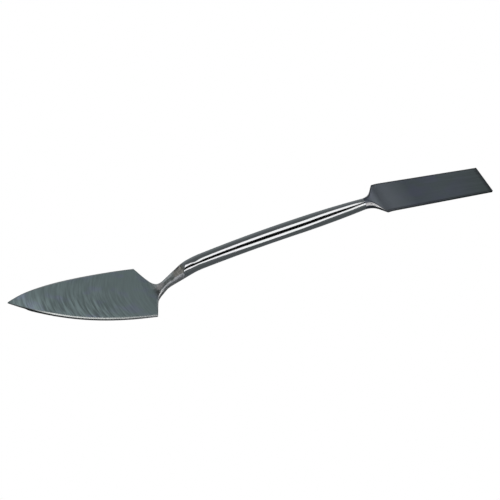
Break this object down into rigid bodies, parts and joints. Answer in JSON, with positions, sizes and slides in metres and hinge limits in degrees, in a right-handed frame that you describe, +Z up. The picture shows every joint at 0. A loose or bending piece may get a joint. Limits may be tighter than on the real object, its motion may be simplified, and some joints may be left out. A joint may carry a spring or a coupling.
{
  "type": "plasterer's small tool",
  "caption": "Double-ended steel small tool: pointed trowel blade on a cranked neck, round polished grip and a flat square-ended blade, resting like a bridge on its heel and its square end.",
  "frame": {"origin": "centre of the length and width, on the surface the tool lies on", "axes": "+X along the tool towards the square blade, +Y across the blades, +Z up from the surface it lies on"},
  "size_m": [0.2494, 0.032, 0.0281],
  "materials": {
    "ground_steel": "ground satin steel, grey-green, with fine curved grinding marks across the blade and a bright edge bevel",
    "polished_steel": "mirror-polished bare steel",
    "dark_steel": "dark blue-grey satin steel with fine marks along the blade",
    "weld_steel": "flush-ground weld with a faint brown heat tint"
  },
  "bodies": {
    "root": {"trowel_blade": "ground_steel", "trowel_weld": "weld_steel", "shank": "polished_steel", "square_weld": "weld_steel", "square_blade": "dark_steel"}
  },
  "joints": []
}
